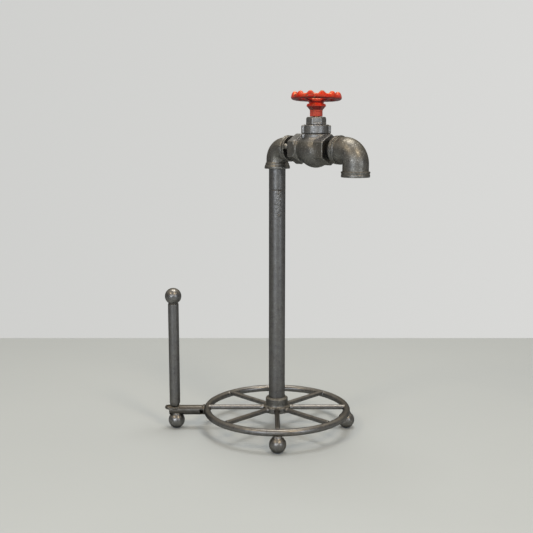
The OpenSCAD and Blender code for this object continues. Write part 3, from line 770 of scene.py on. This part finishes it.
elbow_stop = ELBOW_A - SOCKET_DEPTH
corner_shape = elbow_shape(
    body_r=13.8, b=14.4, down=ELBOW_A, side=ELBOW_A, band_r=16.25, band_l=7.0,
    holes=[
        ("down", SOCKET_R, -ELBOW_A - 2, -elbow_stop),
        ("side", SOCKET_R, elbow_stop, ELBOW_A + 2),
        ("bend", PIPE_IN_R, 2, 2),
    ],
    slope=0.42, tack=tack_weld,
)
corner = solid("corner_elbow_cast", corner_shape, (-17, -18, -26), (34, 17, 17), 0.6, HEAD)
dress(corner, CAST, "head", "corner_elbow")

spout_shape = elbow_shape(
    body_r=15.6, b=16.2, down=SPOUT_A, side=SPOUT_LEG, band_r=17.1, band_l=6.6,
    holes=[
        ("down", SPOUT_BORE_R, -SPOUT_A - 2, -SPOUT_A + SPOUT_BORE_D),
        ("side", SOCKET_R, SPOUT_LEG - SOCKET_DEPTH, SPOUT_LEG + 2),
        ("bend", SPOUT_HOLLOW_R, 2, 2),
    ],
)
SPOUT = HEAD @ frame_at(SPOUT_IN + SPOUT_LEG, 0, 0, 0) @ np.diag([-1.0, 1, 1, 1])
spout = solid("spout_elbow_cast", spout_shape, (-18.5, -18.5, -33.5), (32, 18.5, 18.5), 0.6, SPOUT)
dress(spout, CAST, "head", "spout_elbow")


def nipple(name, start, gap, node):
    """A short threaded pipe along the head's axis, with a true helix in the gap."""
    end = 2 * NIPPLE_IN + gap
    threads = np.linspace(NIPPLE_IN - 0.4, NIPPLE_IN + gap + 0.4, int(gap * 9))
    zs = np.concatenate([[0.0, NIPPLE_IN - 0.5], threads, [NIPPLE_IN + gap + 0.5, end]])
    profile = [(PIPE_R - 0.1, z) for z in zs] + [(PIPE_IN_R, end), (PIPE_IN_R, 0.0)]

    def move(t, r, z):
        phase = (z / THREAD_PITCH - t / (2 * math.pi)) % 1.0
        cut = -1.15 * (1 - np.abs(2 * phase - 1)) ** 0.85
        in_gap = (z > NIPPLE_IN - 0.45) & (z < NIPPLE_IN + gap + 0.45)
        return np.where((r > OUTER_FROM_R) & in_gap, cut, 0)

    level = np.array([[0, 0, 1, start], [0, 1, 0, 0], [-1, 0, 0, 0], [0, 0, 0, 1]], float)
    ob = lathe(name, profile, 72, HEAD @ level, move)
    dress(ob, THREAD_IN_PAINTED_SHADE, "head", node)


nipple("inlet_nipple_threads", ELBOW_A - NIPPLE_IN, VALVE_S - VALVE_L - ELBOW_A, "inlet_nipple")
nipple("outlet_nipple_threads", VALVE_S + VALVE_R - NIPPLE_IN, SPOUT_IN - VALVE_S - VALVE_R, "outlet_nipple")

LUG_TURN = -HEAD_ANGLE
HEX_TURN = LUG_TURN + math.pi / 6


def turned_axes(x, y):
    """The plan axes of the stand, seen from the head."""
    c, s = math.cos(LUG_TURN), math.sin(LUG_TURN)
    return x * c + y * s, -x * s + y * c


def lugs(x, y):
    a, b = np.abs(turned_axes(x, y))
    return edge(np.maximum(a - LUG_R, np.hypot(a, b) - LUG_R - 0.1), b - LUG_W / 2, 0.9)


def valve_shape(x, y, z):
    """The valve: a bulb and a barrel between two hexagons, and a neck with two lugs under the bonnet."""
    rad = np.hypot(y, z)
    vr = np.hypot(x, y)
    hexd = hexagon(y, z, HEX_AF, 0.0, 0.9)
    left = edge(hexd, span(x, -VALVE_L, HEX_LEFT_L - VALVE_L), 0.7)
    right = edge(hexd, span(x, VALVE_R - HEX_RIGHT_L, VALVE_R), 0.7)
    left = smax(left, rad - HEX_CHAMFER_R - np.clip(x + VALVE_L, 0, 9) * 0.8, 0.5)
    right = smax(right, rad - HEX_CHAMFER_R - np.clip(VALVE_R - x, 0, 9) * 0.8, 0.5)
    right = smax(right, np.minimum(z - FLANGE_HI + 0.2, LUG_R + 0.6 - vr), 0.2)
    barrel = edge(rad - BARREL_R - 2.4 * np.exp(-((x / 13.0) ** 2)), np.abs(x + 4.5) - 24.5, 0.8)
    collar = edge(rad - 17.0, np.abs(x + 21.6) - 1.6, 1.0)
    d = smin(barrel, ball(x, y, z - BULB_Z, BULB_R), 5.0)
    d = smin(d, edge(vr - NECK_R, span(z, 4, FLANGE_HI), 0.7), 2.6)
    d = smin(smin(d, collar, 1.2), smin(left, right, 0.5), 1.4)
    ears = np.maximum(lugs(x, y), span(z, 13.5, FLANGE_HI + 0.5))
    d = smin(d, smax(ears, NECK_R - 0.5 - vr, 0.3), 1.0)
    d = d - 0.09 * waves(x, y, z, 8.0, 0.7) - 0.04 * waves(x, y, z, 3.3, 1.9)
    d = smax(d, -edge(rad - SOCKET_R, span(x, -40, SOCKET_DEPTH - VALVE_L), 0.3), 0.5)
    d = smax(d, -edge(rad - SOCKET_R, span(x, VALVE_R - SOCKET_DEPTH, 40), 0.3), 0.5)
    return smax(d, -edge(vr - 10.55, 1.0 - z, 0.3), 0.4)


valve = solid("valve_body_cast", valve_shape, (-34.5, -21.5, -24), (26, 21.5, 20), 0.62, VALVE)
dress(valve, VALVE_CAST, "head", "valve_body")


def bonnet_shape(x, y, z):
    """The bonnet: a disc with two lugs, a spigot below, and a boss for the packing nut."""
    vr = np.hypot(x, y)
    d = edge(vr - NECK_R, span(z, BONNET_LO, BONNET_HI), 1.3)
    ears = edge(lugs(x, y), span(z, BONNET_LO - 0.02, BONNET_HI - 0.6), 1.3)
    d = smin(d, smax(ears, NECK_R - 0.5 - vr, 0.3), 1.8)
    d = smin(d, edge(vr - 10.4, span(z, 12.5, 20), 0.3), 0.3)
    d = smin(d, edge(vr - BOSS_R, span(z, 28, BOSS_HI), 0.3), 0.5)
    d = d - 0.07 * waves(x, y, z, 6.0, 0.7) - 0.04 * waves(x, y, z, 2.7, 1.9)
    d = smax(d, -edge(vr - 8.4, span(z, 8, 21.2), 0.3), 0.3)
    d = smax(d, -edge(vr - 6.65, 31.1 - z, 0.2), 0.2)
    return smax(d, 4.05 - vr, 0.1)


bonnet = solid("bonnet_cast", bonnet_shape, (-18.6, -18.6, 12), (18.6, 18.6, 36), 0.6, VALVE)
dress(bonnet, PALE, "head", "bonnet")


def gland_shape(x, y, z):
    """The packing nut: a chamfered hexagon on a round washer face, hollow over the boss."""
    vr = np.hypot(x, y)
    d = edge(hexagon(x, y, GLAND_AF, HEX_TURN, 1.8), span(z, GLAND_LO, GLAND_HI), 0.9)
    d = smax(d, vr - 10.9 - np.clip(GLAND_HI + 0.2 - z, 0, 2.6) * 0.7, 0.8)
    d = smin(d, edge(vr - 12.0, span(z, GLAND_LO, GLAND_LO + 1.8), 0.5), 0.8)
    d = d - 0.06 * waves(x, y, z, 5.0, 0.2)
    d = smax(d, -edge(vr - BOSS_R - 0.05, z - 36, 0.2), 0.3)
    return smax(d, 4.35 - vr, 0.4)


gland = solid("packing_nut_cast", gland_shape, (-13, -13, 29.5), (13, 13, 39.5), 0.5, VALVE)
dress(gland, PALE, "head", "packing_nut")

# ---------------------------------------------------------------- handwheel
LEAN_EAST, LEAN_NORTH = math.tan(math.radians(-1.0)), math.tan(math.radians(-3.2))


def hub_of_wheel(x, y, z, rad):
    """The wheel's middle: a bell with two rings, a flared hexagon and the long hexagonal shaft."""
    bell_r = 9.2 + 1.1 * np.exp(-(((z - 58.6) / 2.2) ** 2)) - 0.5 * np.exp(-(((z - 55.8) / 1.2) ** 2))
    bell = edge(rad - bell_r, span(z, 53, BELL_HI), 1.4)
    flare = edge(hexagon(x, y, 20.4, HEX_TURN, 1.6), span(z, 51.0, 54.7), 1.3)
    widening = np.clip((z - 47.0) * 0.72, 0, 3.4)
    taper = np.maximum((hexagon(x, y, SHAFT_AF, HEX_TURN, 0.7) - widening) * 0.8, span(z, 46, 53))
    shaft = edge(hexagon(x, y, SHAFT_AF, HEX_TURN, 0.6), span(z, SHAFT_LO, 52), 0.25)
    return bell, smin(smin(flare, taper, 0.9), shaft, 0.8)


def wheel_shape(x, y, z):
    """The cast handwheel, its rim a little crooked on the hub."""
    rad = np.hypot(x, y)
    ang = np.arctan2(y, x)
    east, north = turned_axes(x, y)
    part = np.clip((rad - 9) / 14, 0, 1)
    zz = z - part * part * (3 - 2 * part) * (LEAN_EAST * east + LEAN_NORTH * north)
    rim = np.hypot(np.maximum(np.abs(rad - RIM_R) - 0.5, 0), (zz - RIM_Z) * 0.94) - RIM_ROD_R
    along, side = folded(rad, ang, KNUCKLES, -math.radians(32.5))
    knob = np.sqrt((along - KNUCKLE_RING_R) ** 2 + side * side + (zz - KNUCKLE_Z) ** 2) - KNUCKLE_R
    d = smin(rim, knob, 2.8)
    along, side = folded(rad, ang, WHEEL_ARMS, math.radians(1))
    mid = 62.4 - 3.2 * np.clip((26.7 - along) / 19.7, 0, 1)
    web = np.hypot(side / (1.0 + 0.0022 * (along - 17) ** 2), (zz - mid) / 0.82)
    web = np.maximum((web - ARM_ROD_R) * 0.8, span(along, 6, 27.5))
    bell, shaft = hub_of_wheel(x, y, z, rad)
    d = smin(d, web, 2.0)
    d = smin(d, bell, 1.6)
    d = smin(d, shaft, 0.8)
    d = d - 0.12 * waves(x, y, z, 5.0, 0.6) - 0.06 * waves(x, y, z, 2.3, 1.4)
    return smax(d, np.where(z < 57, 3.98, 3.05) - rad, 0.2)


wheel = solid("handwheel_cast", wheel_shape, (-31.3, -31.3, 39.1), (31.3, 31.3, 71), 0.45, VALVE)
dress(wheel, RED, "wheel", "handwheel")


def nut_shape(x, y, z):
    vr = np.hypot(x, y)
    d = edge(hexagon(x, y, NUT_AF, 0.2, 0.3), span(z, NUT_LO, NUT_HI), 0.25)
    d = smax(d, vr - 4.75 - np.clip(65.0 - z, 0, 1.0), 0.3)
    return smax(d, 3.02 - vr, 0.1)


nut = solid("wheel_nut_hex", nut_shape, (-5.6, -5.6, 61.6), (5.6, 5.6, 65.1), 0.25, VALVE)
dress(nut, PIPE, "wheel", "wheel_nut")
washer_profile = [(3.05, BELL_HI), (6.1, BELL_HI), (6.4, 61.2), (6.4, 61.5), (5.9, NUT_LO), (3.05, NUT_LO)]
washer = lathe("wheel_washer_disc", washer_profile, 64, VALVE)
dress(washer, PIPE, "wheel", "wheel_washer")

for hidden in ("bonnet_gasket", "stem_packing", "seat_washer"):
    repaint(hidden, RUBBER)
for hidden in ("disc_holder", "washer_screw", "valve_stem"):
    repaint(hidden, BRASS)


# ---------------------------------------------------------------- stage, light and camera
FLOOR_SIDE, FLOOR_FRONT, FLOOR_BACK = 1800.0, -2100.0, 493.0
TARGET = (0.0, 0.0, 0.2)
WARM, COOL = (1.0, 0.82, 0.58), (0.86, 0.92, 1.0)
# Name, place (m), size (m), power (W) and colour of each soft light.
LIGHTS = (
    ("top_soft", (0.08, 0.25, 1.9), (0.8, 0.7), 15.0, (1.0, 0.975, 0.935)),
    ("top_warm_left", (-1.20, -1.12, 1.80), (0.38, 0.38), 8.5, WARM),
    ("top_warm_right", (0.82, -1.28, 1.75), (0.38, 0.38), 11.0, WARM),
    ("window_left", (-0.85, -1.55, 0.48), (0.62, 0.46), 7.0, COOL),
    ("window_right", (1.15, -1.35, 0.48), (0.44, 0.40), 5.0, COOL),
    ("front_fill", (-0.10, -2.10, 0.85), (0.90, 0.70), 6.5, (0.94, 0.97, 1.0)),
)
CAMERA_AT, CAMERA_DOWN, CAMERA_LENS, SENSOR = (-0.01375, -1.131, 0.4037), 9.313, 59.45, 36


def floor_paint():
    n = Nodes("floor_paint")
    col = n.ramp(n.noise(3.0, 3, 0.5), [(0.3, (0.408, 0.438, 0.450)), (0.7, (0.420, 0.450, 0.462))])
    rgh = n.scaled(n.noise(40, 3, 0.5), 0.05, 0.55)
    n.bsdf.inputs["Specular IOR Level"].default_value = 0.25
    return n.finish(col, rgh, n.bump(n.noise(900, 2, 0.5), 0.01 * MM), 0.0)


floor_front = [(-FLOOR_SIDE, FLOOR_FRONT, 0), (FLOOR_SIDE, FLOOR_FRONT, 0)]
floor_back = [(FLOOR_SIDE, FLOOR_BACK, 0), (-FLOOR_SIDE, FLOOR_BACK, 0)]
floor = new_object("studio_floor", floor_front + floor_back, [(0, 1, 2, 3)])
floor.data.materials.append(floor_paint())


def sky():
    """A pale wall for the camera, with painted light a little brighter towards +X, and for the light a dim
    room, warm above and brighter at the back.
    """
    world = bpy.data.worlds.new("studio")
    world.use_nodes = True
    bpy.context.scene.world = world
    nodes, links = world.node_tree.nodes, world.node_tree.links
    nodes.clear()
    out = nodes.new("ShaderNodeOutputWorld")
    split = nodes.new("ShaderNodeSeparateXYZ")
    links.new(nodes.new("ShaderNodeTexCoord").outputs["Generated"], split.inputs[0])

    def ramp(axis, stops):
        """Colours along an axis, whose -1 to 1 is mapped to 0 to 1 first."""
        unit = nodes.new("ShaderNodeMath")
        unit.operation = "MULTIPLY_ADD"
        unit.inputs[1].default_value = unit.inputs[2].default_value = 0.5
        links.new(split.outputs[axis], unit.inputs[0])
        r = nodes.new("ShaderNodeValToRGB")
        while len(r.color_ramp.elements) < len(stops):
            r.color_ramp.elements.new(0.5)
        for e, (at, c) in zip(r.color_ramp.elements, stops):
            e.position, e.color = at, (*c, 1)
        links.new(unit.outputs[0], r.inputs["Fac"])
        return r.outputs["Color"]

    seen, lit = nodes.new("ShaderNodeBackground"), nodes.new("ShaderNodeBackground")
    # Painted light on the wall: a little brighter towards +X.
    wall = ramp("X", [(0.36, (0.630, 0.632, 0.617)), (0.64, (0.690, 0.690, 0.676))])
    links.new(wall, seen.inputs["Color"])
    room = [(0.35, (0.30, 0.31, 0.33)), (0.5, (0.34, 0.34, 0.34)), (0.66, (0.42, 0.40, 0.37))]
    room += [(0.86, (0.90, 0.85, 0.76)), (1.0, (0.94, 0.92, 0.88))]
    height = ramp("Z", room)
    back = ramp("Y", [(0.25, (0.55, 0.55, 0.58)), (0.75, (1.25, 1.24, 1.20))])
    both = nodes.new("ShaderNodeMix")
    both.data_type, both.blend_type = "RGBA", "MULTIPLY"
    both.inputs[0].default_value = 1.0
    links.new(height, both.inputs[6])
    links.new(back, both.inputs[7])
    links.new(both.outputs[2], lit.inputs["Color"])
    lit.inputs["Strength"].default_value = 0.85
    path, mix = nodes.new("ShaderNodeLightPath"), nodes.new("ShaderNodeMixShader")
    links.new(path.outputs["Is Camera Ray"], mix.inputs[0])
    links.new(lit.outputs[0], mix.inputs[1])
    links.new(seen.outputs[0], mix.inputs[2])
    links.new(mix.outputs[0], out.inputs["Surface"])


sky()

for name, at, size, power, color in LIGHTS:
    lamp = bpy.data.lights.new(name, "AREA")
    lamp.shape = "RECTANGLE"
    lamp.size, lamp.size_y = size
    lamp.energy = power
    lamp.color = color
    light = bpy.data.objects.new(name, lamp)
    light.location = at
    light.rotation_euler = (Vector(TARGET) - Vector(at)).to_track_quat("-Z", "Y").to_euler()
    light.visible_camera = False
    bpy.context.scene.collection.objects.link(light)

cam_data = bpy.data.cameras.new("camera")
cam_data.sensor_width = SENSOR
cam_data.lens = CAMERA_LENS
cam = bpy.data.objects.new("camera", cam_data)
cam.location = CAMERA_AT
cam.rotation_euler = (math.radians(90 - CAMERA_DOWN), 0, 0)
bpy.context.scene.collection.objects.link(cam)
bpy.context.scene.camera = cam
bpy.context.scene.view_settings.view_transform = "Standard"
